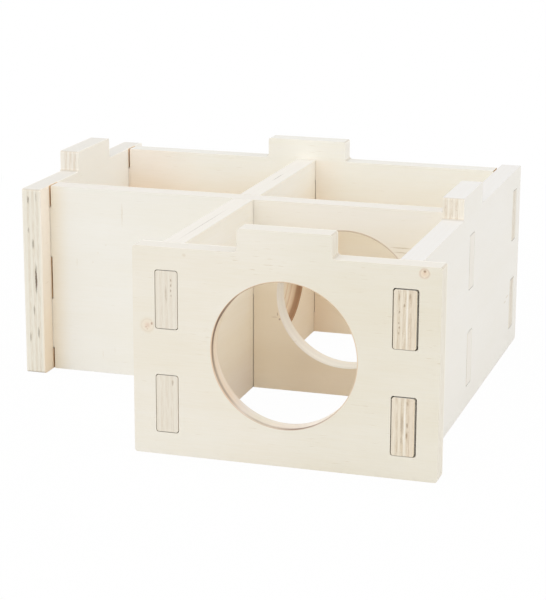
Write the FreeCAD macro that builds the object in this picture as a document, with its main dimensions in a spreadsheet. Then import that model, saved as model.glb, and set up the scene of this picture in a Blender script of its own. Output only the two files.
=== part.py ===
import FreeCAD, Part
import os
import re
import Sketcher

# Wooden hamster house: six plywood boards that plug together into three
# open-topped chambers. X runs along the front wall, Y to the back and Z up,
# from the middle of the footprint on the floor.

doc = FreeCAD.newDocument("HamsterHouse")

# Driving sizes in millimetres
SIZES = {
    "board": 9,
    "chamber_width": 87,
    "chamber_depth": 88,
    "wall_height": 85,
    "overhang": 9.5,
    "tab_width": 38,
    "tab_height": 9.5,
    "tenon_height": 23.4,
    "joint_gap": 0.3,
    "side_gap": 0.7,
    "end_gap": 0.2,
    "loose_inner_gap": 0.45,
    "loose_outer_gap": 0.85,
    "loose_lower_gap": 0.2,
    "loose_upper_gap": 0.5,
    "doorway_bore": 59,
    "doorway_lift": 2.5,
    "cross_passage_bore": 60.5,
    "cross_passage_lift": 0.8,
    "cross_passage_shift": 1.75,
    "back_passage_bore": 59,
    "back_passage_lift": 1.5,
    "back_passage_shift": 1.5,
    "board_corner": 1.2,
    "tab_corner": 1,
    "tab_root": 1.6,
    "cutter_corner": 1.1,
    "slot_corner": 0.8,
    "tenon_round": 0.9,
    "outer_rim_chamfer": 0.2,
    "inner_rim_chamfer": 1.5,
    "rim_chamfer": 0.5,
}

# Sizes that follow from them. X is counted from the outer face of the left
# side wall and Y from the outer face of the front wall.
FOLLOWING = {
    "middle_x": "board + chamber_width",
    "right_x": "middle_x + board + chamber_width",
    "total_width": "right_x + board + overhang",
    "front_width": "overhang + board + chamber_width + board + overhang",
    "front_x": "middle_x - overhang",
    "cross_y": "board + chamber_depth",
    "rear_y": "cross_y + board + chamber_depth",
    "total_depth": "rear_y + board + overhang",
    "left_y": "cross_y - overhang",
    "side_tenon": "board + side_gap",
    "end_tenon": "board + end_gap",
    "slot_width": "board + 2 * joint_gap",
    "lower_tenon": "overhang",
    "upper_tenon": "wall_height - overhang - tenon_height",
    "half_height": "wall_height / 2",
}

sheet = doc.addObject("Spreadsheet::Sheet", "Sizes")
for row, (alias, size) in enumerate(SIZES.items(), start=1):
    sheet.set("A%d" % row, alias)
    sheet.set("B%d" % row, str(size))
    sheet.setAlias("B%d" % row, alias)
doc.recompute()


def spelled(text):
    # The same expression in the sheet's cells alone
    def cell(word):
        name = word.group()
        if name in SIZES:
            return "Sizes." + name
        return "(" + spelled(FOLLOWING[name]) + ")"

    return re.sub(r"[a-z_]+", cell, text)


class Board:
    # One board, drawn face on: across is its length, up its height, and its
    # thickness runs along the third axis.

    def __init__(self, name, plane, x, y):
        self.body = doc.addObject("PartDesign::Body", name)
        self.body.Label = name
        self.body.setExpression("Placement.Base.x", spelled(x + " - total_width / 2"))
        self.body.setExpression("Placement.Base.y", spelled(y + " - total_depth / 2"))
        self.faces_front = plane == "XZ_Plane"
        self.across = 0 if self.faces_front else 1
        self.through = 1 - self.across
        self.plane = next(f for f in self.body.Origin.OriginFeatures if f.Role == plane)

    def sketch(self, name):
        sketch = self.body.newObject("Sketcher::SketchObject", name + "_sketch")
        sketch.AttachmentSupport = (self.plane, [""])
        sketch.MapMode = "FlatFace"
        return sketch

    def dimension(self, sketch, kind, places, name, text):
        index = sketch.addConstraint(Sketcher.Constraint(kind, *places, 1.0))
        sketch.renameConstraint(index, name)
        sketch.setExpression("Constraints." + name, spelled(text))

    def rectangle(self, name, left, bottom, width, height):
        sketch = self.sketch(name)
        corners = [FreeCAD.Vector(x, y, 0) for x, y in ((1, 1), (2, 1), (2, 2), (1, 2))]
        for start, end in zip(corners, corners[1:] + corners[:1]):
            sketch.addGeometry(Part.LineSegment(start, end))
        for line in range(4):
            sketch.addConstraint(Sketcher.Constraint("Coincident", line, 2, (line + 1) % 4, 1))
            sketch.addConstraint(Sketcher.Constraint("Vertical" if line % 2 else "Horizontal", line))
        self.dimension(sketch, "DistanceX", (-1, 1, 0, 1), "left", left)
        self.dimension(sketch, "DistanceY", (-1, 1, 0, 1), "bottom", bottom)
        self.dimension(sketch, "DistanceX", (0, 1, 0, 2), "width", width)
        self.dimension(sketch, "DistanceY", (1, 1, 1, 2), "height", height)
        return sketch

    def circle(self, name, across, up, bore):
        sketch = self.sketch(name)
        sketch.addGeometry(Part.Circle(FreeCAD.Vector(1, 1, 0), FreeCAD.Vector(0, 0, 1), 1))
        self.dimension(sketch, "DistanceX", (-1, 1, 0, 3), "across", across)
        self.dimension(sketch, "DistanceY", (-1, 1, 0, 3), "up", up)
        self.dimension(sketch, "Diameter", (0,), "bore", bore)
        return sketch

    def pad(self, name, sketch):
        pad = self.body.newObject("PartDesign::Pad", name)
        pad.Profile = sketch
        pad.setExpression("Length", spelled("board"))
        pad.Reversed = self.faces_front
        doc.recompute()

    def pocket(self, name, sketch):
        before = self.body.Shape.Volume
        pocket = self.body.newObject("PartDesign::Pocket", name)
        pocket.Profile = sketch
        pocket.Type = "ThroughAll"
        pocket.Reversed = not self.faces_front
        doc.recompute()
        if self.body.Shape.Volume > before - 1:
            raise RuntimeError(name + " cuts nothing")

    def round_off(self, name, edges, radius):
        fillet = self.body.newObject("PartDesign::Fillet", name)
        fillet.Base = (fillet.getBaseObject(), edges)
        fillet.setExpression("Radius", spelled(radius))
        doc.recompute()

    def bevel(self, name, edges, size):
        chamfer = self.body.newObject("PartDesign::Chamfer", name)
        chamfer.Base = (chamfer.getBaseObject(), edges)
        chamfer.setExpression("Size", spelled(size))
        doc.recompute()

    def straight_edges(self, axis, accepts):
        # Names of the straight edges along an axis whose middle is accepted
        names = []
        for number, edge in enumerate(self.body.Tip.Shape.Edges, start=1):
            if not isinstance(edge.Curve, Part.Line):
                continue
            if abs(edge.tangentAt(edge.FirstParameter)[axis]) < 0.99:
                continue
            if accepts(edge.CenterOfMass):
                names.append("Edge%d" % number)
        return names

    def corners(self, sketch, sides=(-1, 1), levels=(-1, 1)):
        # Edges through the thickness at the chosen corners of a drawn rectangle
        box = sketch.Shape.BoundBox
        ends = {-1: (box.XMin, box.YMin), 1: (box.XMax, box.YMax)}
        spots = [(ends[side][self.across], box.ZMax if level > 0 else box.ZMin)
                 for side in sides for level in levels]

        def accepts(middle):
            return any(abs(middle[self.across] - a) < 0.01 and abs(middle.z - b) < 0.01
                       for a, b in spots)

        return self.straight_edges(self.through, accepts)

    def blank(self, left, width, height="wall_height"):
        self.outline = self.rectangle("blank", left, "0", width, height)
        self.pad("blank", self.outline)

    def raised_tab(self, middle):
        left = middle + " - tab_width / 2"
        sketch = self.rectangle("tab", left, "wall_height", "tab_width", "tab_height")
        self.pad("tab", sketch)
        self.round_off("tab_corners", self.corners(sketch, levels=(1,)), "tab_corner")
        self.round_off("tab_roots", self.corners(sketch, levels=(-1,)), "tab_root")

    def tenons(self, name, left, length):
        for level in ("lower_tenon", "upper_tenon"):
            sketch = self.rectangle(name + "_" + level, left, level, length, "tenon_height")
            self.pad(name + "_" + level, sketch)
            box = sketch.Shape.BoundBox
            low = (box.XMin, box.YMin)[self.across]
            high = (box.XMax, box.YMax)[self.across]

            def accepts(middle):
                beside = low < middle[self.across] < high
                return beside and min(abs(middle.z - box.ZMin), abs(middle.z - box.ZMax)) < 0.01

            arrises = self.straight_edges(self.across, accepts)
            self.round_off(name + "_" + level + "_round", arrises, "tenon_round")

    def mortises(self, name, left, gaps=("joint_gap",) * 4):
        # The gaps are on the low and high side, under and over the tenon
        before, after, below, above = gaps
        for level in ("lower_tenon", "upper_tenon"):
            sketch = self.rectangle(name + "_" + level, left + " - " + before, level + " - " + below,
                                    "board + " + before + " + " + after,
                                    "tenon_height + " + below + " + " + above)
            self.pocket(name + "_" + level, sketch)
            self.round_off(name + "_" + level + "_corners", self.corners(sketch), "cutter_corner")

    def opening(self, name, across, lift, bore, near_chamfer="rim_chamfer", far_chamfer="rim_chamfer"):
        # A round hole: the near rim is on the outer face of the board
        sketch = self.circle(name, across, "half_height + " + lift, bore)
        self.pocket(name, sketch)
        middle = self.body.Tip.Shape.BoundBox.Center[self.through]
        for side, chamfer in (("near", near_chamfer), ("far", far_chamfer)):
            rims = ["Edge%d" % number for number, edge in enumerate(self.body.Tip.Shape.Edges, start=1)
                    if isinstance(edge.Curve, Part.Circle) and edge.isClosed()
                    and (edge.Curve.Center[self.through] < middle) == (side == "near")]
            self.bevel(name + "_" + side + "_rim", rims, chamfer)


def front_wall():
    # Entrance wall: doorway, tab above it and four mortises for the tenons
    # of the middle partition and the right side wall
    wall = Board("front_wall", "XZ_Plane", "front_x", "0")
    wall.blank("0", "front_width")
    wall.round_off("wall_corners", wall.corners(wall.outline), "board_corner")
    wall.raised_tab("front_width / 2")
    wall.mortises("partition_mortise", "overhang")
    wall.mortises("side_wall_mortise", "overhang + board + chamber_width",
                  ("loose_inner_gap", "loose_outer_gap", "loose_lower_gap", "loose_upper_gap"))
    wall.opening("doorway", "front_width / 2", "doorway_lift", "doorway_bore",
                 "outer_rim_chamfer", "inner_rim_chamfer")
    return wall


def rear_wall():
    # Back wall: tenons into both side walls, tab and mortises on the line
    # of the middle partition
    wall = Board("rear_wall", "XZ_Plane", "0", "rear_y")
    wall.blank("side_tenon", "right_x + board - 2 * side_tenon")
    wall.raised_tab("middle_x + board / 2")
    wall.tenons("left_tenon", "0", "side_tenon")
    wall.tenons("right_tenon", "right_x + board - side_tenon", "side_tenon")
    wall.mortises("partition_mortise", "middle_x")
    return wall


def cross_panel():
    # Long board across the house: front of the left chamber and, past its
    # halving slot, the divider with a passage between the right chambers
    panel = Board("cross_panel", "XZ_Plane", "0", "cross_y")
    panel.blank("side_tenon", "right_x + board - 2 * side_tenon")
    panel.tenons("left_tenon", "0", "side_tenon")
    panel.tenons("right_tenon", "right_x + board - side_tenon", "side_tenon")
    slot = panel.rectangle("halving_slot", "middle_x - joint_gap", "0",
                           "slot_width", "half_height + joint_gap")
    panel.pocket("halving_slot", slot)
    panel.round_off("slot_corners", panel.corners(slot, levels=(1,)), "slot_corner")
    panel.opening("cross_passage", "right_x - chamber_width / 2 - cross_passage_shift",
                  "cross_passage_lift", "cross_passage_bore")
    return panel


def middle_partition():
    # Board from front to back: slotted from above over the cross panel, with
    # a passage between the two back chambers
    panel = Board("middle_partition", "YZ_Plane", "middle_x", "0")
    panel.blank("end_tenon", "rear_y + board - 2 * end_tenon")
    panel.tenons("front_tenon", "0", "end_tenon")
    panel.tenons("rear_tenon", "rear_y + board - end_tenon", "end_tenon")
    slot = panel.rectangle("halving_slot", "cross_y - joint_gap", "half_height - joint_gap",
                           "slot_width", "half_height + joint_gap")
    panel.pocket("halving_slot", slot)
    panel.round_off("slot_corners", panel.corners(slot, levels=(-1,)), "slot_corner")
    panel.opening("back_passage", "rear_y - chamber_depth / 2 - back_passage_shift",
                  "back_passage_lift", "back_passage_bore")
    return panel


def left_side_wall():
    # Outer wall of the left chamber, standing past the boards it holds
    wall = Board("left_side_wall", "YZ_Plane", "0", "left_y")
    wall.blank("0", "total_depth - left_y")
    wall.round_off("wall_corners", wall.corners(wall.outline), "board_corner")
    wall.raised_tab("(total_depth - left_y) / 2")
    wall.mortises("cross_mortise", "overhang")
    wall.mortises("rear_mortise", "rear_y - left_y")
    return wall


def right_side_wall():
    # Outer wall of both right chambers, tenoned into the front wall
    wall = Board("right_side_wall", "YZ_Plane", "right_x", "0")
    wall.blank("end_tenon", "total_depth - end_tenon")
    wall.round_off("wall_corners", wall.corners(wall.outline, sides=(1,)), "board_corner")
    wall.raised_tab("(board + rear_y) / 2")
    wall.tenons("front_tenon", "0", "end_tenon")
    wall.mortises("cross_mortise", "cross_y")
    wall.mortises("rear_mortise", "rear_y")
    return wall


boards = [
    front_wall(),
    rear_wall(),
    cross_panel(),
    middle_partition(),
    left_side_wall(),
    right_side_wall(),
]
doc.recompute()

for item in doc.Objects:
    if "Invalid" in item.State or "Error" in item.State:
        raise RuntimeError(item.Name + " failed")
for board in boards:
    shape = board.body.Shape
    if shape.isNull() or not shape.isValid() or len(shape.Solids) != 1:
        raise RuntimeError(board.body.Label + " is not one valid solid")

os.makedirs("parts", exist_ok=True)
for board in boards:
    shape = board.body.Shape
    shape.exportStep("parts/%s.step" % board.body.Label)
    box = shape.BoundBox
    print(board.body.Label, "%.1f x %.1f x %.1f" % (box.XLength, box.YLength, box.ZLength))
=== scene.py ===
import math
import bpy
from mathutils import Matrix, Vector


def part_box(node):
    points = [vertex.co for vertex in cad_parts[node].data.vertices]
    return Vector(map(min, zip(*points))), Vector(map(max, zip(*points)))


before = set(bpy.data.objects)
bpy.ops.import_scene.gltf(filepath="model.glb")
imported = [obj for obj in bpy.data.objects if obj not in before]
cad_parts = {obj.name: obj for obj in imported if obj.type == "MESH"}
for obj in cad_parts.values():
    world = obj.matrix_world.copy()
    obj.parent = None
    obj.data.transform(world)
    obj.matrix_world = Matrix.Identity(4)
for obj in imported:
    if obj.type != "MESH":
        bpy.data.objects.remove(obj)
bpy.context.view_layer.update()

# Wooden hamster house: six bare plywood boards plugged together. The boards
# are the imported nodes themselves, with sanded arrises and a plywood finish
# that is solid all through: places in it are in millimetres from the middle
# of the footprint on the floor.

print("frame loaded:", ", ".join(sorted(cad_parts)))


class Wire:
    # One socket of a finish. Arithmetic on it adds Math nodes.

    def __init__(self, finish, socket):
        self.finish = finish
        self.socket = socket

    def maths(self, operation, *terms):
        return self.finish.add("ShaderNodeMath", {"operation": operation}, dict(enumerate(terms)))

    def __add__(self, other):
        return self.maths("ADD", self, other)

    __radd__ = __add__

    def __sub__(self, other):
        return self.maths("SUBTRACT", self, other)

    def __rsub__(self, other):
        return self.maths("SUBTRACT", other, self)

    def __mul__(self, other):
        return self.maths("MULTIPLY", self, other)

    __rmul__ = __mul__

    def __truediv__(self, other):
        return self.maths("DIVIDE", self, other)

    def most(self, other):
        return self.maths("MAXIMUM", self, other)

    def fade(self, start, end):
        # 0 at start to 1 at end, smoothly; start may be the larger
        if start > end:
            return 1 - self.fade(end, start)
        return self.finish.add("ShaderNodeMapRange", {"interpolation_type": "SMOOTHSTEP"},
                               {"Value": self, "From Min": start, "From Max": end})


class Finish:
    # The nodes of one material, or of the studio around the house

    def __init__(self, holder):
        self.holder = holder
        holder.use_nodes = True
        self.tree = holder.node_tree
        self.tree.nodes.clear()

    def add(self, kind, settings=None, sockets=None, out=0):
        node = self.tree.nodes.new(kind)
        for name, setting in (settings or {}).items():
            if name == "stops":
                self.fillRamp(node.color_ramp, setting)
            else:
                setattr(node, name, setting)
        for name, value in (sockets or {}).items():
            socket = node.inputs[name]
            if isinstance(value, Wire):
                self.tree.links.new(value.socket, socket)
            else:
                socket.default_value = value
        return Wire(self, node.outputs[out]) if len(node.outputs) else None

    def fillRamp(self, ramp, stops):
        while len(ramp.elements) < len(stops):
            ramp.elements.new(0.5)
        for element, (position, colour) in zip(ramp.elements, sorted(stops)):
            element.position = position
            element.color = colour

    def ramp(self, value, stops):
        return self.add("ShaderNodeValToRGB", {"stops": stops}, {0: value})

    def toneRamp(self, value, tones):
        return self.ramp(value, [(spot, shade(*tone)) for spot, tone in tones])

    def vector(self, operation, *terms, out=0, **named):
        sockets = {**dict(enumerate(terms)), **named}
        return self.add("ShaderNodeVectorMath", {"operation": operation}, sockets, out)

    def length(self, wire):
        return self.vector("LENGTH", wire, out="Value")

    def split(self, wire):
        return [self.add("ShaderNodeSeparateXYZ", None, {0: wire}, part) for part in range(3)]

    def join(self, x, y, z):
        return self.add("ShaderNodeCombineXYZ", None, {0: x, 1: y, 2: z})

    def blend(self, share, first, second, how="MIX"):
        settings = {"data_type": "RGBA", "blend_type": how}
        return self.add("ShaderNodeMix", settings, {0: share, 6: first, 7: second}, 2)

    def offset(self, place, centre, reach):
        # How far a place is from a centre, as shares of the reach each way
        away = self.vector("SUBTRACT", place, centre)
        return self.vector("MULTIPLY", away, tuple(1 / way for way in reach))

    def seen(self):
        # 1 where the eye looks, straight or by way of gloss or glass
        share = self.add("ShaderNodeLightPath", out="Is Camera Ray")
        for ray in ("Is Glossy Ray", "Is Transmission Ray"):
            share = share.most(self.add("ShaderNodeLightPath", out=ray))
        return share


def shade(red, green, blue):
    # An sRGB colour, 0 to 255, as Blender's linear one
    def linear(part):
        part /= 255
        return part / 12.92 if part <= 0.04045 else ((part + 0.055) / 1.055) ** 2.4

    return (linear(red), linear(green), linear(blue), 1.0)


def grey(share):
    return (share, share, share, 1.0)


plywoodLook = {
    "thickness": 9.0,           # millimetres
    "veneer": 0.072,            # share of the thickness that is face veneer
    "veneerBlur": 0.01,
    "layers": (0.16, 0.28, 0.40, 0.53, 0.65, 0.78),  # where each layer ends
    "layerBlur": 0.025,
    "layerSway": 0.05,
    "glueWidth": 0.02,
    "face": shade(243, 239, 229),
    # the inner faces are paler than the outer ones: painted light inside the rooms
    "litInnerFace": shade(255, 252, 245),
    "warm": shade(250, 247, 239),
    "dash": shade(208, 192, 164),
    "edge": shade(240, 235, 223),
    # the arrises' tone: wear, and painted shade that dulls their highlight
    "wornAndShaded": shade(241, 236, 229),
    "shoulderShade": shade(224, 186, 140),
    "core": shade(204, 184, 154),
    "glue": shade(166, 140, 108),
    "pale": shade(252, 249, 242),
    "stain": shade(150, 124, 96),
    "pore": shade(104, 74, 48),
    "gap": shade(70, 46, 30),
    "void": shade(92, 68, 44),
    "scratch": shade(150, 104, 82),
    "darkBrown": shade(92, 54, 32),
    "figureShare": 0.65,        # how much of the warm tone is broad figure
    "fibreShare": 0.35,         # and how much is fibre
    "coreShare": 0.75,
    "glueShare": 0.5,
    "wornAndShadedShare": (0.6, 0.5),    # evenly, and with the grit
    "roughness": (0.56, 0.74),
    "specular": 0.3,
}

# The noises in the wood. Stretch is how many cells there are to the millimetre
# along the board, or along it, up it and through it, throughStretch is how many
# to the thickness, and range is where a noise starts to show and where it shows
# in full.
grain = {
    "wobble": {"scale": 0.55, "detail": 3.0, "roughness": 0.6, "reach": 0.7},
    "fibre": {"stretch": 0.055, "scale": 1.7, "detail": 4.0, "roughness": 0.62,
              "range": (0.3, 0.75)},
    "figure": {"stretch": (0.012, 0.05, 0.2), "scale": 1.0, "detail": 3.0, "roughness": 0.55,
               "range": (0.32, 0.72)},
    "flocks": {"scale": 5.5, "detail": 2.0, "roughness": 0.5, "range": (0.5, 0.66)},
    "dashes": {"stretch": (0.19, 2.2, 0.3), "scale": 1.0, "detail": 1.0, "roughness": 0.4,
               "range": (0.66, 0.76)},
    "sway": {"stretch": 0.05, "scale": 1.0, "detail": 2.0, "roughness": 0.5},
    "streak": {"stretch": 0.2, "throughStretch": 22, "scale": 1.0, "detail": 3.0,
               "roughness": 0.6, "range": (0.4, 0.75), "coreRange": (0.25, 0.6)},
    "breaks": {"stretch": 0.22, "throughStretch": 7, "scale": 1.0, "detail": 2.0,
               "roughness": 0.5, "range": (0.38, 0.6)},
    "grit": {"scale": 2.3, "detail": 3.0, "roughness": 0.7, "poreRange": (0.6, 0.7)},
    "singe": {"turnStretch": 14, "throughStretch": 3.5, "scale": 1.0, "detail": 4.0,
              "roughness": 0.6, "range": (0.42, 0.72)},
}

# How squarely a surface faces up, faces the way of the board's face, or faces
# whichever way it faces most, where 1 is square
turned = {
    "up": (0.4, 0.8),
    "offFace": (0.8, 0.6),
    "offSquare": (0.98, 0.86),  # the sanded arrises
}

# Where the borders of these start and where they are whole
borders = {
    "mark": (1.25, 0.35),       # shares of the reach of a mark
    "knot": (1.3, 0.8),         # shares of the reach of a knot
    "rim": (0.3, 0.12),         # millimetres outside the sawn surface
    "darkBandRim": (0.3, 0.1),      # millimetres outside the hole
    "darkBandStart": (-0.06, 0.0),  # shares of the thickness
    "darkBandEnd": (0.08, -0.08),
    "faces": (0.49, 0.51),
}

relief = {
    "fibre": 0.35,
    "dash": -0.25,
    "streak": 0.5,
    "grit": 0.12,
    "hollow": 3.0,              # how much deeper the gaps and voids are
    "strength": 0.35,
    "distance": 0.0002,
}

toMillimetres = 1000.0


class Plywood(Finish):
    # The finish of one board, right through it

    def __init__(self, name, look):
        super().__init__(bpy.data.materials.new("plywood" + name.title().replace("_", "")))
        self.look = look
        low, high = (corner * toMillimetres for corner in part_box(name))
        facesFront = high.y - low.y < high.x - low.x
        texture = self.add("ShaderNodeTexCoord", out="Object")
        self.place = self.vector("SCALE", texture, Scale=toMillimetres)
        x, y, self.up = self.split(self.place)
        self.through, self.along = (y, x) if facesFront else (x, y)
        lowSide = low.y if facesFront else low.x
        self.depth = (self.through - lowSide) / plywoodLook["thickness"]    # 0 to 1
        facing = self.vector("ABSOLUTE", self.add("ShaderNodeTexCoord", out="Normal"))
        turnedX, turnedY, turnedZ = self.split(facing)
        self.upward = turnedZ.fade(*turned["up"])
        self.sawnEdge = (turnedY if facesFront else turnedX).fade(*turned["offFace"])
        self.wornAndShaded = turnedX.most(turnedY).most(turnedZ).fade(*turned["offSquare"])
        wobble = self.vector("SUBTRACT", self.noise("wobble", self.place, out="Color"),
                             (0.5, 0.5, 0.5))
        wobble = self.vector("SCALE", wobble, Scale=grain["wobble"]["reach"])
        self.ragged = self.vector("ADD", self.place, wobble)
        self.grit = self.noise("grit", self.place)

        self.colour = self.boards()
        for hole in look.get("holes", []):
            self.sawHole(hole)
        hollow = self.addMarks()
        for knot in look.get("knots", []):
            self.addKnot(knot)
        self.addSurface(hollow)

    def noise(self, kind, place, out=0):
        look = grain[kind]
        return self.add("ShaderNodeTexNoise", None, {
            "Vector": place, "Scale": look["scale"], "Detail": look["detail"],
            "Roughness": look["roughness"]}, out)

    def spots(self, place, marks):
        # 1 at the middle of each mark, given by its centre, reach and strength
        mask = None
        for *centre, reachX, reachY, reachZ, strength in marks:
            offset = self.offset(place, centre, (reachX, reachY, reachZ))
            near = self.length(offset).fade(*borders["mark"]) * strength
            mask = near if mask is None else mask.most(near)
        return mask

    def boards(self):
        # The faces and edges of the board, and its sanded arrises, toned darker: partly wear and
        # partly painted shade that dulls their highlight
        face, edge = self.faceVeneer(), self.layeredEdge()
        veneer, blur = plywoodLook["veneer"], plywoodLook["veneerBlur"]
        lowVeneer = self.depth.fade(veneer - blur, veneer + blur)
        self.inside = lowVeneer * self.depth.fade(1 + blur - veneer, 1 - blur - veneer)
        ends = self.sawnEdge * self.look["veneerEnds"]
        colour = self.blend(self.inside.most(ends), face, edge)
        least, gritty = plywoodLook["wornAndShadedShare"]
        wornAndShaded = self.wornAndShaded * (self.grit * gritty + least)
        return self.blend(wornAndShaded, colour, plywoodLook["wornAndShaded"], "MULTIPLY")

    def faceVeneer(self):
        # Long fine fibres, broad soft tone, small dark dashes, and patches of painted light and
        # shade
        look, seed = self.look, self.look["seed"]
        fibreAlong = self.along * grain["fibre"]["stretch"] + seed
        self.fibre = self.noise("fibre", self.join(fibreAlong, self.up, self.through))
        stretch = grain["figure"]["stretch"]
        figurePlace = self.join(self.along * stretch[0] + seed, self.up * stretch[1],
                                self.through * stretch[2] + seed)
        figure = self.noise("figure", figurePlace)
        flocks = self.noise("flocks", figurePlace).fade(*grain["flocks"]["range"])
        flocks = flocks * look["dashes"]
        if "dashSpots" in look:
            flocks = flocks.most(self.spots(self.place, look["dashSpots"]))
        stretch = grain["dashes"]["stretch"]
        dashPlace = self.join(self.along * stretch[0] + seed, self.up * stretch[1] + seed,
                              self.through * stretch[2])
        dashes = self.noise("dashes", dashPlace).fade(*grain["dashes"]["range"])
        self.dashes = dashes * flocks
        warmth = figure.fade(*grain["figure"]["range"]) * plywoodLook["figureShare"]
        warmth = warmth + self.fibre.fade(*grain["fibre"]["range"]) * plywoodLook["fibreShare"]
        face = self.blend(self.depth.fade(*borders["faces"]), *look["faces"])
        face = self.blend(warmth * look["warmth"], face, plywoodLook["warm"], "MULTIPLY")
        face = self.blend(self.dashes, face, plywoodLook["dash"])
        # painted light and shade: each patch darkens, warms or lightens one side of the board
        for patch in look.get("paintedLightAndShade", []):
            share = (self.depth - 0.5).fade(*patch["side"]) * patch["amount"]
            for way, wire in (("along", self.along), ("until", self.along), ("up", self.up)):
                if way in patch:
                    share = share * wire.fade(*patch[way])
            face = self.blend(share, face, patch["tone"], "MULTIPLY")
        return face

    def layeredEdge(self):
        # Every other layer darker, with wavering glue lines and pores. The
        # bands show least on top and most on the tenon ends.
        look, seed = self.look, self.look["seed"]
        stretch = grain["sway"]["stretch"]
        sway = self.noise("sway", self.join(self.along * stretch, self.up * stretch, seed))
        self.layerDepth = self.depth + (sway - 0.5) * plywoodLook["layerSway"]
        if "layerShift" in look:
            start, end, shift = look["layerShift"]
            self.layerDepth = self.layerDepth + self.along.fade(start, end) * shift
        core, lines = self.layerRamps()
        self.streak = self.noise("streak", self.endPlace("streak"))
        breaks = self.noise("breaks", self.endPlace("breaks")).fade(*grain["breaks"]["range"])
        onTop, onEnds, onTenons = look["bands"]
        bands = onEnds + self.upward * (onTop - onEnds)
        tenonEnds = None
        for start, end in look.get("tenons", []):
            share = self.along.fade(start, end) * (1 - self.upward)
            tenonEnds = share if tenonEnds is None else tenonEnds + share
            bands = bands + share * (onTenons - onEnds)
        darkCore = core * self.streak.fade(*grain["streak"]["coreRange"])
        darkCore = darkCore * plywoodLook["coreShare"]
        darkCore = darkCore + self.streak.fade(*grain["streak"]["range"]) * look["streaks"]
        # tops are coloured darker than the sawn sides: painted shade against the stronger light
        # from above
        edge = self.blend(self.upward, look.get("edge", plywoodLook["edge"]), look["shadedTop"])
        edge = self.blend(darkCore * bands, edge, plywoodLook["core"])
        glue = lines * breaks * bands * plywoodLook["glueShare"]
        edge = self.blend(glue, edge, plywoodLook["glue"])
        pores = self.grit.fade(*grain["grit"]["poreRange"]) * core * bands
        edge = self.blend(pores * look["pores"], edge, plywoodLook["pore"])
        if "throughEdge" in look:
            graded = self.toneRamp(self.depth, look["throughEdge"])
            edge = self.blend(tenonEnds, edge, graded, "MULTIPLY")
        # painted shade: a tan tint on the shoulders beside the tenons, in the gaps at the side
        # walls
        for start, end in look.get("shadedShoulders", []):
            share = self.along.fade(start, end) * self.sawnEdge
            share = share * (1 - self.upward) * (1 - tenonEnds)
            edge = self.blend(share, edge, plywoodLook["shoulderShade"], "MULTIPLY")
        return edge

    def layerRamps(self):
        # Ramps through the thickness: 1 in the dark layers, and at the glue lines
        blur, width = plywoodLook["layerBlur"], plywoodLook["glueWidth"]
        coreStops, lineStops = [(0.0, grey(0))], [(0.0, grey(0))]
        for number, end in enumerate(self.look.get("layers", plywoodLook["layers"])):
            before, after = (0, 1) if number % 2 == 0 else (1, 0)
            coreStops += [(end - blur, grey(before)), (end + blur, grey(after))]
            lineStops += [(end - width, grey(0)), (end, grey(1)), (end + width, grey(0))]
        return self.ramp(self.layerDepth, coreStops), self.ramp(self.layerDepth, lineStops)

    def endPlace(self, kind):
        stretch, throughStretch = grain[kind]["stretch"], grain[kind]["throughStretch"]
        return self.join(self.along * stretch, self.up * stretch, self.depth * throughStretch)

    def sawHole(self, hole):
        # The sawn surface of a hole: toned round it and through the board, and dark
        # brown in streaks and, where given, in a band through part of the thickness
        across, up = self.along - hole["across"], self.up - hole["up"]
        ring = self.length(self.join(across, up, 0.0))
        turn = self.add("ShaderNodeMath", {"operation": "ARCTAN2"}, {0: up, 1: across})
        turn = turn / (2 * math.pi) + 0.5
        sawn = self.toneRamp(turn, hole["around"])
        layered = self.toneRamp(self.layerDepth, hole["through"])
        sawn = self.blend(1.0, sawn, layered, "MULTIPLY")
        look = grain["singe"]
        singePlace = self.join(turn * look["turnStretch"], self.depth * look["throughStretch"],
                               self.look["seed"])
        singe = self.noise("singe", singePlace).fade(*look["range"]) * hole["singe"]
        sawn = self.blend(singe, sawn, plywoodLook["darkBrown"])
        self.colour = self.blend(self.rimMask(ring, hole), self.colour, sawn)
        if "darkBand" in hole:
            darkBand = self.ramp(turn, [(spot, (*band, 1.0)) for spot, *band in hole["darkBand"]])
            start, end, strength = self.split(darkBand)
            begun = (self.depth - start).fade(*borders["darkBandStart"])
            band = begun * (self.depth - end).fade(*borders["darkBandEnd"])
            outer, inner = borders["darkBandRim"]
            band = band * ring.fade(hole["radius"] + outer, hole["radius"] + inner)
            self.colour = self.blend(band * strength, self.colour, plywoodLook["darkBrown"])

    def rimMask(self, ring, hole):
        # The sawn surface with both of its bevels
        near, far = hole["bevels"]
        thickness = plywoodLook["thickness"]
        slope = self.depth.fade(near / thickness, 0.0) * near
        slope = slope + self.depth.fade(1 - far / thickness, 1.0) * far
        return (ring - hole["radius"] - slope).fade(*borders["rim"])

    def addMarks(self):
        # Single marks, each at its own place. Gaps and voids are hollow as well.
        hollow = None
        for tone, marks in self.look.get("marks", {}).items():
            mask = self.spots(self.ragged, marks)
            self.colour = self.blend(mask, self.colour, plywoodLook[tone])
            if tone in ("gap", "void"):
                hollow = mask if hollow is None else hollow.most(mask)
        return hollow

    def addKnot(self, knot):
        # Rings about a centre, out to twice the reach
        ring = self.length(self.offset(self.ragged, knot["centre"], knot["reach"]))
        rings = self.toneRamp(ring * 0.5, knot["rings"])
        self.colour = self.blend(ring.fade(*borders["knot"]) * knot["amount"], self.colour, rings)

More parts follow.
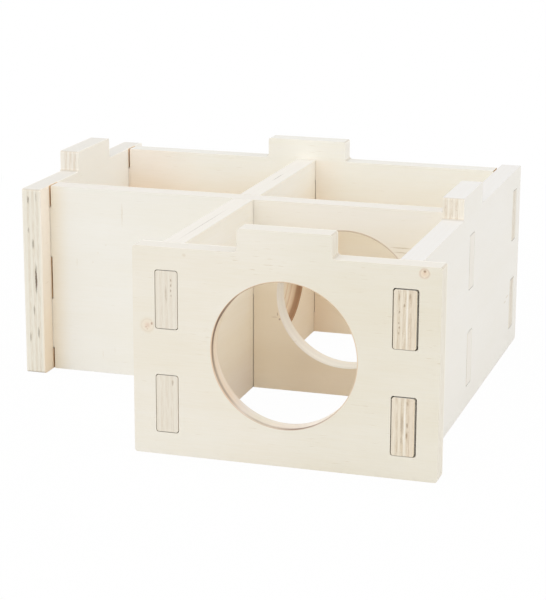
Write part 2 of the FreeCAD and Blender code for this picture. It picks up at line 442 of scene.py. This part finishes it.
    def addSurface(self, hollow):
        smooth, rough = plywoodLook["roughness"]
        roughness = self.fibre * (rough - smooth) + smooth
        height = self.fibre * relief["fibre"] + self.dashes * relief["dash"]
        height = height + self.streak * self.inside * relief["streak"]
        height = height + self.grit * relief["grit"]
        if hollow is not None:
            height = height - hollow * relief["hollow"]
        bump = self.add("ShaderNodeBump", None, {
            "Strength": relief["strength"], "Distance": relief["distance"], "Height": height})
        surface = self.add("ShaderNodeBsdfPrincipled", None, {
            "Base Color": self.colour, "Roughness": roughness, "Normal": bump,
            "Specular IOR Level": plywoodLook["specular"]})
        self.add("ShaderNodeOutputMaterial", None, {"Surface": surface})


arrises = {
    "width": 0.00025,    # metres
    "segments": 2,
    "sharperThan": 40,   # degrees
    "weldGap": 1e-6,     # metres
}


def dressBoard(name, look):
    # Sanded arrises and the finish on a packed board
    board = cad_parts[name]
    weld = board.modifiers.new("weld", "WELD")
    weld.merge_threshold = arrises["weldGap"]
    arris = board.modifiers.new("arris", "BEVEL")
    arris.width = arrises["width"]
    arris.segments = arrises["segments"]
    arris.limit_method = "ANGLE"
    arris.angle_limit = math.radians(arrises["sharperThan"])
    arris.miter_outer = "MITER_ARC"
    level = board.modifiers.new("level", "WEIGHTED_NORMAL")
    level.keep_sharp = True
    material = Plywood(name, look).holder
    for slot in board.material_slots:
        slot.material = material
    print("dressed", name)


# In the boards' dictionaries places are in millimetres, along the board and up
# from the floor, and a pair says where something starts and where it is whole.
# Bands is how much the layers show on the top, on the ends and on the tenon
# ends, and veneerEnds how much the ends of the face veneer look like them. A
# patch is painted light and shade on one side of the board: it darkens and warms
# that side where shade falls, and lightens it where its figures are over 255.
# Around a hole, tones and dark bands go anticlockwise from 0 at the left to 1.
# A mark is its centre, its reach each way and its strength.
lowSide = (0.1, -0.1)       # the front or left side, from the middle of the thickness
highSide = (-0.1, 0.1)      # the back or right side

frontWall = {
    "seed": 1.3,
    "faces": (shade(238, 233, 222), plywoodLook["litInnerFace"]),
    "shadedTop": shade(223, 219, 211),
    "warmth": 0.8,
    "dashes": 0.35,
    "dashSpots": [
        (31, -106.25, 80.5, 16, 4, 4, 0.9),
        (105, -106.25, 51, 8, 4, 6, 0.7),
        (76, -106.25, 27.5, 8, 4, 4, 0.8),
        (11, -106.25, 50, 6, 4, 4, 0.6),
    ],
    "bands": (0.04, 0.35, 0.35),
    "streaks": 0.35,
    "veneerEnds": 0.5,
    "pores": 0.3,
    # painted shade over the right of the front face, and painted light low down on its left
    "paintedLightAndShade": [
        {"side": lowSide, "along": (30, 60), "amount": 0.8, "tone": shade(250, 250, 247)},
        {"side": lowSide, "along": (34, 10), "up": (22, 8), "amount": 1.0,
         "tone": shade(258, 260, 264)},
    ],
    "holes": [{
        "across": 43.25, "up": 45.0, "radius": 29.5, "bevels": (0.2, 1.5),
        "around": [(0.0, (255, 240, 220)), (0.06, (251, 238, 222)), (0.11, (242, 227, 210)),
                   (0.15, (239, 232, 226)), (0.19, (236, 232, 220)), (0.24, (240, 233, 224)),
                   (0.28, (239, 232, 225)), (0.33, (250, 246, 241)), (0.42, (248, 240, 226)),
                   (0.6, (246, 232, 210)), (0.84, (246, 230, 208)), (1.0, (255, 240, 220))],
        "through": [(0.0, (236, 224, 212)), (0.15, (250, 246, 242)), (0.5, (252, 249, 244)),
                    (0.7, (255, 255, 255)), (0.8, (248, 244, 238)), (0.9, (255, 255, 255))],
        "singe": 0.08,
        # places round the hole, where the dark band starts and ends in the thickness, how strong
        "darkBand": [(0.0, 0.08, 0.28, 0.7), (0.055, 0.08, 0.28, 0.48), (0.11, 0.08, 0.26, 0.44),
                 (0.15, 0.08, 0.22, 0.05), (0.19, 0.05, 0.2, 0.32), (0.235, 0.03, 0.18, 0.28),
                 (0.28, 0.0, 0.14, 0.68), (0.33, 0.0, 0.1, 0.5), (0.4, 0.0, 0.1, 0.15),
                 (0.5, 0.0, 0.1, 0.0), (0.7, 0.0, 0.1, 0.15), (0.8, 0.0, 0.3, 0.3),
                 (0.86, 0.0, 0.6, 0.65), (0.9, 0.0, 0.6, 0.7), (0.94, 0.04, 0.3, 0.85),
                 (1.0, 0.08, 0.28, 0.7)],
    }],
    "knots": [
        {
            "centre": (-12.7, -106.25, 52.9), "reach": (3.0, 3.0, 2.9), "amount": 0.42,
            "rings": [(0.0, (206, 160, 128)), (0.1, (222, 184, 152)), (0.22, (236, 214, 190)),
                      (0.34, (238, 222, 200)), (0.44, (220, 202, 176)), (0.5, (230, 216, 194))],
        },
        {
            "centre": (98.4, -106.25, 82.4), "reach": (2.1, 3.0, 2.1), "amount": 0.46,
            "rings": [(0.0, (226, 176, 140)), (0.12, (232, 196, 162)), (0.3, (238, 214, 184)),
                      (0.4, (206, 172, 144)), (0.46, (212, 182, 154)), (0.55, (234, 220, 200))],
        },
    ],
    "marks": {
        "pale": [
            (98.4, -106.25, 80.9, 0.5, 2, 0.4, 0.8),
        ],
        "dash": [
            (2.8, -106.25, 82.4, 0.9, 2, 0.8, 0.3),
        ],
        "scratch": [
            (-10.9, -106.25, 53.8, 0.5, 2, 0.65, 0.95),
            (-13.4, -106.25, 52.2, 0.5, 2, 0.35, 0.5),
            (-12.8, -106.25, 51.4, 0.35, 2, 0.35, 0.4),
        ],
        "gap": [
            (98.5, -106.25, 83.2, 0.6, 2, 0.6, 0.95),
        ],
    },
}
dressBoard("front_wall", frontWall)

rearWall = {
    "seed": 7.9,
    # the face into the rooms is paler than the back: painted light
    "faces": (shade(255, 254, 248), plywoodLook["face"]),
    "shadedTop": shade(224, 222, 216),
    "warmth": 0.7,
    "dashes": 0.2,
    # painted light: the sawn edges are paler than the plain edge tone, to lighten the right-facing
    # sides of the tabs
    "edge": shade(250, 247, 240),
    "throughEdge": [(0.0, (244, 242, 238)), (1.0, (244, 242, 238))],
    "bands": (0.04, 0.2, 0.7),
    "streaks": 0.35,
    "veneerEnds": 0.6,
    "tenons": [(86.6, 87.2), (-96.0, -96.6)],
    "shadedShoulders": [(85.7, 85.9), (-95.2, -95.4)],
    "pores": 0.3,
    # painted shade: warmer and darker low down, darker towards the left end and left of the middle
    # partition, and darker near the partition on its right
    "paintedLightAndShade": [
        {"side": lowSide, "up": (84, 46), "amount": 1.0, "tone": shade(255, 246, 233)},
        {"side": lowSide, "along": (-50, -88), "amount": 1.0, "tone": shade(255, 248, 244)},
        {"side": lowSide, "along": (18, -2), "until": (-5, -3), "up": (87, 83), "amount": 1.0,
         "tone": shade(255, 249, 245)},
        {"side": lowSide, "up": (36, 6), "amount": 1.0, "tone": shade(252, 247, 242)},
        {"side": lowSide, "along": (-5, -20), "up": (84, 60), "amount": 1.0,
         "tone": shade(255, 250, 245)},
    ],
    "marks": {
        "scratch": [
            (95.75, 91.5, 28, 2, 0.5, 9, 0.5),
            (95.75, 89.5, 62, 2, 0.4, 9, 0.3),
        ],
    },
}
dressBoard("rear_wall", rearWall)

crossPanel = {
    "seed": 13.1,
    "faces": (shade(248, 244, 236), plywoodLook["litInnerFace"]),
    "edge": shade(246, 242, 235),
    "shadedTop": shade(225, 221, 214),
    "warmth": 0.5,
    "dashes": 0.15,
    "bands": (0.04, 0.25, 0.08),
    "streaks": 0.3,
    "veneerEnds": 0.8,
    "tenons": [(86.6, 87.2), (-96.0, -96.6)],
    "shadedShoulders": [(85.7, 85.9), (-95.2, -95.4)],
    "throughEdge": [(0.0, (249, 248, 246)), (1.0, (249, 248, 246))],
    "pores": 0.2,
    # painted shade: warmer low down in the right room and darker at its bottom right, a little
    # darker on the left, and darker towards the left wall
    "paintedLightAndShade": [
        {"side": lowSide, "along": (-5, 1), "up": (84, 40), "amount": 1.0,
         "tone": shade(255, 245, 230)},
        {"side": lowSide, "along": (2, 26), "up": (40, 10), "amount": 1.0,
         "tone": shade(238, 234, 230)},
        {"side": lowSide, "along": (1, -5), "amount": 1.0, "tone": shade(248, 250, 252)},
        {"side": lowSide, "along": (-86, -96), "amount": 1.0, "tone": shade(252, 246, 236)},
    ],
    "holes": [{
        "across": 41.5, "up": 43.3, "radius": 30.25, "bevels": (0.5, 0.5),
        "around": [(0.0, (252, 245, 234)), (0.12, (252, 245, 235)), (0.24, (243, 240, 231)),
                   (0.3, (243, 238, 228)), (0.5, (250, 240, 226)), (0.7, (226, 208, 186)),
                   (1.0, (252, 245, 234))],
        "through": [(0.0, (248, 246, 246)), (0.2, (255, 255, 255)), (0.5, (250, 249, 249)),
                    (0.8, (255, 253, 250)), (0.97, (244, 238, 230))],
        "singe": 0.0,
    }],
    "marks": {
        "dash": [
            (-61.5, -9.25, 74.2, 0.3, 2, 5.4, 0.32),
            (-83.6, -9.25, 50.8, 0.25, 2, 2.2, 0.2),
            (-71.8, -9.25, 8.8, 0.25, 2, 2.2, 0.2),
            (-65.9, -9.25, 11.2, 0.25, 2, 1.4, 0.15),
            (-69.4, -9.25, 59.7, 0.4, 2, 0.5, 0.2),
            (-73.3, -9.25, 55.8, 0.4, 2, 0.5, 0.2),
            (-75.8, -9.25, 51.4, 0.4, 2, 0.5, 0.2),
            (-32.9, -9.25, 57.9, 0.8, 2, 0.5, 0.25),
            (16.7, -9.25, 38.2, 3.0, 2, 0.25, 0.4),
            (21.3, -9.25, 22.7, 4.0, 2, 0.25, 0.35),
            (30.5, -9.25, 16.7, 4.0, 2, 0.25, 0.35),
            (66.0, -9.25, 68.2, 5.0, 2, 0.3, 0.7),
            (66.5, -9.25, 66.2, 4.5, 2, 0.3, 0.6),
        ],
        "scratch": [
            (11.0, -9.25, 34.4, 0.3, 2, 0.9, 0.5),
            (11.9, -9.25, 32.2, 0.5, 2, 0.5, 0.55),
            (9.6, -9.25, 33.0, 1.6, 2, 0.25, 0.25),
        ],
        # painted shade: dark lines down the front of the tenon ends, where the mortise gaps are in
        # shade
        "gap": [
            (95.75, -9.1, 64, 0.6, 0.3, 12, 0.3),
            (95.75, -9.1, 20, 0.6, 0.3, 12, 0.2),
        ],
    },
}
dressBoard("cross_panel", crossPanel)

middlePartition = {
    "seed": 21.7,
    "faces": (plywoodLook["litInnerFace"], plywoodLook["litInnerFace"]),
    "shadedTop": shade(228, 224, 217),
    "warmth": 0.8,
    "dashes": 0.2,
    "layers": (0.20, 0.32, 0.44, 0.57, 0.68, 0.79),
    "bands": (0.04, 0.35, 0.18),
    "tenons": [(-97.0, -97.6)],
    "throughEdge": [(0.0, (241, 238, 234)), (0.12, (248, 246, 244)), (0.9, (248, 246, 244)),
                    (1.0, (245, 242, 239))],
    "streaks": 0.7,
    "veneerEnds": 1.0,
    "pores": 0.5,
    # painted shade: warmer and darker low down, a little darker in the rear room below the top,
    # and darker at the front bottom
    "paintedLightAndShade": [
        {"side": highSide, "up": (84, 30), "amount": 0.85, "tone": shade(255, 246, 234)},
        {"side": highSide, "along": (-5, 5), "up": (84, 62), "amount": 1.0,
         "tone": shade(253, 248, 243)},
        {"side": highSide, "along": (-5, -12), "up": (30, 4), "amount": 1.0,
         "tone": shade(242, 239, 240)},
    ],
    "holes": [{
        "across": 42.25, "up": 44.0, "radius": 29.5, "bevels": (0.5, 0.5),
        "around": [(0.0, (244, 232, 214)), (0.5, (236, 223, 202)), (0.75, (232, 216, 193)),
                   (1.0, (244, 232, 214))],
        "through": [(0.0, (252, 252, 252)), (0.16, (249, 242, 232)), (0.2, (234, 212, 190)),
                    (0.24, (249, 243, 234)), (0.36, (246, 235, 224)), (0.42, (234, 210, 188)),
                    (0.47, (250, 238, 224)), (0.64, (228, 204, 182)), (0.73, (180, 147, 120)),
                    (0.9, (170, 136, 110)), (0.98, (188, 154, 126))],
        "singe": 0.12,
    }],
    "marks": {
        "stain": [
            (-2.85, -106.05, 71.8, 0.3, 1, 0.6, 0.6),
            (-2.8, -106.05, 69.8, 0.3, 1, 0.6, 0.6),
            (-2.9, -106.05, 67.6, 0.3, 1, 0.6, 0.6),
            (-2.7, -106.05, 65.6, 0.3, 1, 0.6, 0.4),
            (-4.85, -106.05, 66.0, 0.4, 1, 4.0, 0.35),
            (-2.4, -106.05, 30.0, 0.45, 1, 1.4, 0.45),
        ],
        "gap": [
            (-4.6, -62, 85, 0.26, 30, 1.6, 0.26),
            (-4.9, 42, 85, 0.28, 9, 1.4, 0.35),
        ],
    },
}
dressBoard("middle_partition", middlePartition)

leftSideWall = {
    "seed": 34.2,
    "faces": (plywoodLook["face"], plywoodLook["litInnerFace"]),
    "shadedTop": shade(220, 217, 211),
    "warmth": 0.3,
    "dashes": 0.2,
    "layers": (0.24, 0.36, 0.49, 0.61, 0.71, 0.83),
    "edge": shade(243, 238, 229),
    "bands": (0.04, 0.4, 0.3),
    "tenons": [(-18.2, -18.7)],
    "throughEdge": [(0.0, (248, 248, 244)), (1.0, (248, 248, 244))],
    "streaks": 0.4,
    "veneerEnds": 0.6,
    "pores": 0.3,
    # painted shade: warmer and darker in front of the cross panel, most low down, and brown in the
    # gaps at the shoulders of the cross panel and the rear wall
    "paintedLightAndShade": [
        {"side": highSide, "along": (-8, -10), "amount": 0.8, "tone": shade(249, 240, 232)},
        {"side": highSide, "along": (-8, -10), "up": (60, 4), "amount": 1.0,
         "tone": shade(250, 243, 232)},
        {"side": highSide, "along": (-9.5, -9.3), "until": (0.0, -0.2), "amount": 1.0,
         "tone": shade(250, 226, 192)},
        {"side": highSide, "along": (87.5, 87.7), "until": (97.0, 96.8), "amount": 1.0,
         "tone": shade(255, 230, 196)},
    ],
    "marks": {
        "void": [
            (-102.4, -18.75, 80.0, 0.45, 2.5, 1.9, 0.6),
            (-98.6, -18.75, 81.5, 0.4, 2.5, 2.6, 0.25),
            (-102.6, -18.75, 66.3, 0.35, 2.5, 1.6, 0.4),
            (-100.6, -18.75, 60.0, 0.5, 2.5, 2.4, 0.5),
            (-99.5, -18.75, 43.8, 0.55, 3.0, 6.8, 0.9),
            (-100.8, -18.75, 29.2, 0.4, 2.5, 2.6, 0.45),
            (-98.9, -18.75, 19.1, 0.45, 2.5, 2.8, 0.5),
            (-102.9, -18.75, 16.6, 0.4, 2.5, 2.4, 0.45),
        ],
    },
}
dressBoard("left_side_wall", leftSideWall)

rightSideWall = {
    "seed": 55.5,
    "faces": (plywoodLook["litInnerFace"], shade(242, 239, 233)),
    "shadedTop": shade(225, 223, 220),
    "warmth": 0.3,
    "dashes": 0.1,
    "edge": shade(246, 240, 228),
    "bands": (0.04, 0.45, 0.46),
    "tenons": [(-97.0, -97.6)],
    "layerShift": (-95, -30, 0.07),
    "throughEdge": [(0.0, (241, 236, 228)), (0.14, (244, 240, 233)), (0.66, (244, 240, 233)),
                    (0.72, (241, 234, 225)), (0.93, (240, 233, 224)), (1.0, (244, 234, 214))],
    "streaks": 0.5,
    "veneerEnds": 1.0,
    "pores": 0.8,
    "marks": {
        "pale": [
            (92.0, -106.05, 64.0, 0.3, 1, 14, 0.6),
            (91.9, -106.05, 21.0, 0.3, 1, 14, 0.6),
        ],
        "stain": [
            (88.9, -106.05, 72.6, 0.35, 1, 1.6, 0.5),
            (89.0, -106.05, 66.8, 0.35, 1, 0.6, 0.6),
            (88.9, -106.05, 62.4, 0.3, 1, 0.6, 0.6),
            (89.0, -106.05, 60.6, 0.35, 1, 0.6, 0.6),
            (88.9, -106.05, 58.4, 0.3, 1, 0.6, 0.5),
            (90.9, -106.05, 69.4, 0.4, 1, 0.9, 0.6),
            (93.1, -106.05, 73.0, 0.45, 1, 1.4, 0.5),
            (90.9, -106.05, 22.0, 0.5, 1, 5.0, 0.5),
            (90.8, -106.05, 16.0, 0.4, 1, 2.0, 0.4),
            (92.9, -106.05, 22.0, 0.4, 1, 1.3, 0.75),
            (92.8, -106.05, 18.0, 0.4, 1, 1.6, 0.65),
            (92.9, -106.05, 30.8, 0.4, 1, 1.2, 0.45),
        ],
        "dash": [
            (95.75, 76.0, 25.6, 2, 2.6, 0.4, 0.6),
            (95.75, 81.0, 27.0, 2, 4.0, 0.45, 0.5),
        ],
    },
}
dressBoard("right_side_wall", rightSideWall)


floorLook = {
    "size": 12.0,         # metres
    "colour": grey(0.8),
    "glow": 0.972,        # share of the floor that the camera sees as plain white
    "fade": (0.2, 0.5),   # metres out over which that share goes up to all of it
}


def stageFloor():
    half = floorLook["size"] / 2
    mesh = bpy.data.meshes.new("floor")
    corners = [(-half, -half, 0), (half, -half, 0), (half, half, 0), (-half, half, 0)]
    mesh.from_pydata(corners, [], [(0, 1, 2, 3)])
    floor = bpy.data.objects.new("floor", mesh)
    bpy.context.scene.collection.objects.link(floor)
    finish = Finish(bpy.data.materials.new("whiteFloor"))
    matt = finish.add("ShaderNodeBsdfDiffuse", None, {"Color": floorLook["colour"]})
    glow = finish.add("ShaderNodeEmission", None, {"Color": grey(1), "Strength": 1.0})
    away = finish.length(finish.add("ShaderNodeTexCoord", out="Object"))
    share = away.fade(*floorLook["fade"]) * (1 - floorLook["glow"]) + floorLook["glow"]
    surface = finish.add("ShaderNodeMixShader", None, {0: finish.seen() * share, 1: matt, 2: glow})
    finish.add("ShaderNodeOutputMaterial", None, {"Surface": surface})
    mesh.materials.append(finish.holder)


skyLook = {
    "strength": 0.66,
    "colour": (1.0, 0.995, 0.985, 1.0),
}


def stageSky():
    finish = Finish(bpy.data.worlds.new("studio"))
    sky = finish.add("ShaderNodeBackground", None, {
        "Color": skyLook["colour"], "Strength": skyLook["strength"]})
    white = finish.add("ShaderNodeBackground", None, {"Color": grey(1), "Strength": 1.0})
    surface = finish.add("ShaderNodeMixShader", None, {0: finish.seen(), 1: sky, 2: white})
    finish.add("ShaderNodeOutputWorld", None, {"Surface": surface})
    bpy.context.scene.world = finish.holder


# Lamps are given by their bearing, to the right of straight in front, their
# height above the floor in degrees, and the light that they give a surface
# that faces them, as a share of white
lamps = {
    "frontLamp": {"bearing": -5, "height": 28, "share": 0.155, "colour": (1.0, 0.995, 0.98)},
    "rightLamp": {"bearing": 92, "height": 25, "share": 0.19, "colour": (0.97, 0.985, 1.0)},
    "leftLamp": {"bearing": -55, "height": 35, "share": 0.11, "colour": (1.0, 1.0, 1.0)},
    "topLamp": {"bearing": 0, "height": 85, "share": 0.365, "colour": (1.0, 1.0, 1.0)},
}

lampLook = {
    "distance": 2.5,      # metres
    "size": 2.2,
}


def stageLamps():
    for name, lamp in lamps.items():
        light = bpy.data.lights.new(name, "AREA")
        light.shape = "DISK"
        light.size = lampLook["size"]
        light.energy = lamp["share"] * (math.pi * lampLook["distance"]) ** 2
        light.color = lamp["colour"]
        bearing, height = math.radians(lamp["bearing"]), math.radians(lamp["height"])
        place = Vector((math.sin(bearing) * math.cos(height),
                        -math.cos(bearing) * math.cos(height), math.sin(height)))
        place *= lampLook["distance"]
        holder = bpy.data.objects.new(name, light)
        holder.location = place
        holder.rotation_euler = (-place).to_track_quat("-Z", "Y").to_euler()
        bpy.context.scene.collection.objects.link(holder)


camera = {
    "place": (0.2568, -0.8061, 0.2597),    # metres
    "turn": (75.296, -0.202, 17.336),      # degrees
    "lens": 118.21,                        # millimetres, as is the film
    "film": 36.0,
    "clip": (0.01, 100.0),
}


def stageCamera():
    lens = bpy.data.cameras.new("camera")
    lens.lens = camera["lens"]
    lens.sensor_width = camera["film"]
    lens.clip_start, lens.clip_end = camera["clip"]
    holder = bpy.data.objects.new("camera", lens)
    holder.location = camera["place"]
    holder.rotation_euler = [math.radians(angle) for angle in camera["turn"]]
    bpy.context.scene.collection.objects.link(holder)
    bpy.context.scene.camera = holder


stageFloor()
stageSky()
stageLamps()
stageCamera()
bpy.context.scene.view_settings.view_transform = "Standard"
print("stage set")
